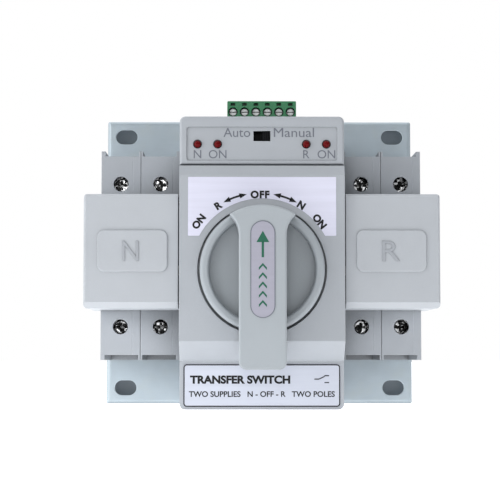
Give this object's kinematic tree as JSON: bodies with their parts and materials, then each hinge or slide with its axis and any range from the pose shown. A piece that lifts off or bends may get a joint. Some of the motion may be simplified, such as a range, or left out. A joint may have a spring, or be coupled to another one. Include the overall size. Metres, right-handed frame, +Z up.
{
  "type": "transfer switch",
  "caption": "Dual-supply transfer switch: a drive housing with a rotary handle between covered modular breakers on a slotted base tray.",
  "frame": {"origin": "centre of the mounting slot pattern, half way through the base tray's sheet", "axes": "+X to the right of someone facing the switch, +Z up the panel, -Y out of the panel towards them"},
  "size_m": [0.1556, 0.1112, 0.1378],
  "materials": {
    "zinc_sheet": "zinc plated, slightly blue",
    "zinc_steel": "zinc plated",
    "terminal_steel": "nickel plated",
    "bright_steel": "ground",
    "bearing_bronze": "turned",
    "copper": "drawn copper",
    "gear_plastic": "moulded",
    "motor_can": "drawn can",
    "housing_grey": "fine spark texture",
    "handle_grey": "fine spark texture",
    "cover_grey": "fine spark texture",
    "breaker_grey": "moulded",
    "black_plastic": "moulded",
    "board_green": "solder mask",
    "terminal_green": "moulded",
    "lamp_red": "clear red",
    "label_film": "printed film"
  },
  "bodies": {
    "switch_frame": {"arc_chutes": "zinc_steel", "base_tray": "zinc_sheet", "bimetal_straps": "copper", "case_rivets": "zinc_steel", "control_board": "board_green", "control_socket": "terminal_green", "dial_label": "label_film", "fixed_contacts": "copper", "front_cover": "housing_grey", "gear_plate": "zinc_sheet", "gear_plate_screws": "zinc_steel", "header_cover": "housing_grey", "housing_screws": "zinc_steel", "idler_pin": "bright_steel", "indicator_leds": "lamp_red", "limit_switches": "black_plastic", "mechanism_base": "housing_grey", "mode_switch_body": "black_plastic", "motor_body": "motor_can", "motor_screws": "zinc_steel", "mounting_rails": "zinc_sheet", "normal_cover": "cover_grey", "normal_pole_cases": "breaker_grey", "normal_pole_lids": "breaker_grey", "pivot_pins": "bright_steel", "rack_guide_pins": "bright_steel", "rail_rivets": "zinc_steel", "rating_label": "label_film", "relays": "black_plastic", "reserve_cover": "cover_grey", "reserve_pole_cases": "breaker_grey", "reserve_pole_lids": "breaker_grey", "shaft_bush": "bearing_bronze", "socket_pins": "terminal_steel", "terminal_clamps": "terminal_steel", "terminal_screws": "terminal_steel", "tray_screws": "zinc_steel", "trip_coils": "copper"},
    "handle_shaft": {"handle": "handle_grey", "handle_sticker": "label_film", "handle_screw": "zinc_steel", "main_shaft": "bright_steel", "drive_gear": "gear_plastic"},
    "idler": {"idler_gear": "gear_plastic"},
    "motor_rotor": {"motor_shaft": "bright_steel", "motor_pinion": "bearing_bronze"},
    "normal_rack": {"normal_rack": "gear_plastic"},
    "reserve_rack": {"reserve_rack": "gear_plastic"},
    "normal_toggle_pair": {"normal_toggles": "black_plastic", "normal_toggle_tie": "black_plastic"},
    "reserve_toggle_pair": {"reserve_toggles": "black_plastic", "reserve_toggle_tie": "black_plastic"},
    "normal_arms": {"normal_contact_arms": "copper"},
    "reserve_arms": {"reserve_contact_arms": "copper"},
    "mode_slider": {"mode_switch_knob": "black_plastic"},
    "control_plug": {"control_plug": "terminal_green", "plug_screws": "terminal_steel"},
    "normal_clip": {"normal_din_clip": "black_plastic"},
    "reserve_clip": {"reserve_din_clip": "black_plastic"}
  },
  "joints": [
    {"name": "handle_turn", "type": "hinge", "parent": "switch_frame", "child": "handle_shaft", "pos_m": [0, -0.05775, -0.0084], "axis": [0, 1, 0], "range_deg": [-45, 45]},
    {"name": "idler_turn", "type": "hinge", "parent": "switch_frame", "child": "idler", "pos_m": [0, -0.05775, -0.03348], "axis": [0, 1, 0], "range_deg": [-68, 68]},
    {"name": "motor_turn", "type": "hinge", "parent": "switch_frame", "child": "motor_rotor", "pos_m": [0, -0.05775, -0.05106], "axis": [0, 1, 0], "range_deg": [-91, 91]},
    {"name": "normal_rack_slide", "type": "slide", "parent": "switch_frame", "child": "normal_rack", "axis": [0, 0, 1], "range_m": [-0.0118, 0.0118]},
    {"name": "reserve_rack_slide", "type": "slide", "parent": "switch_frame", "child": "reserve_rack", "axis": [0, 0, 1], "range_m": [-0.0118, 0.0118]},
    {"name": "normal_toggle_swing", "type": "hinge", "parent": "switch_frame", "child": "normal_toggle_pair", "pos_m": [-0.0547, -0.06075, 0], "axis": [-1, 0, 0], "range_deg": [0, 48]},
    {"name": "reserve_toggle_swing", "type": "hinge", "parent": "switch_frame", "child": "reserve_toggle_pair", "pos_m": [0.0547, -0.06075, 0], "axis": [-1, 0, 0], "range_deg": [0, 48]},
    {"name": "normal_arm_swing", "type": "hinge", "parent": "switch_frame", "child": "normal_arms", "pos_m": [-0.0547, -0.04275, 0.0095], "axis": [1, 0, 0], "range_deg": [0, 16]},
    {"name": "reserve_arm_swing", "type": "hinge", "parent": "switch_frame", "child": "reserve_arms", "pos_m": [0.0547, -0.04275, 0.0095], "axis": [1, 0, 0], "range_deg": [0, 16]},
    {"name": "mode_switch_slide", "type": "slide", "parent": "switch_frame", "child": "mode_slider", "axis": [-1, 0, 0], "range_m": [0, 0.0038]},
    {"name": "plug_pull", "type": "slide", "parent": "switch_frame", "child": "control_plug", "axis": [0, 0, 1], "range_m": [0, 0.012]},
    {"name": "normal_clip_slide", "type": "slide", "parent": "switch_frame", "child": "normal_clip", "axis": [0, 0, -1], "range_m": [0, 0.003]},
    {"name": "reserve_clip_slide", "type": "slide", "parent": "switch_frame", "child": "reserve_clip", "axis": [0, 0, -1], "range_m": [0, 0.003]}
  ],
  "couplings": [
    {"joint": "idler_turn", "follows": "handle_turn", "ratio": -1.5},
    {"joint": "motor_turn", "follows": "handle_turn", "ratio": 2},
    {"joint": "normal_rack_slide", "follows": "handle_turn", "m_per_rad": 0.015},
    {"joint": "reserve_rack_slide", "follows": "handle_turn", "m_per_rad": -0.015},
    {"joint": "normal_arm_swing", "follows": "normal_toggle_swing", "ratio": 0.3333},
    {"joint": "reserve_arm_swing", "follows": "reserve_toggle_swing", "ratio": 0.3333}
  ]
}
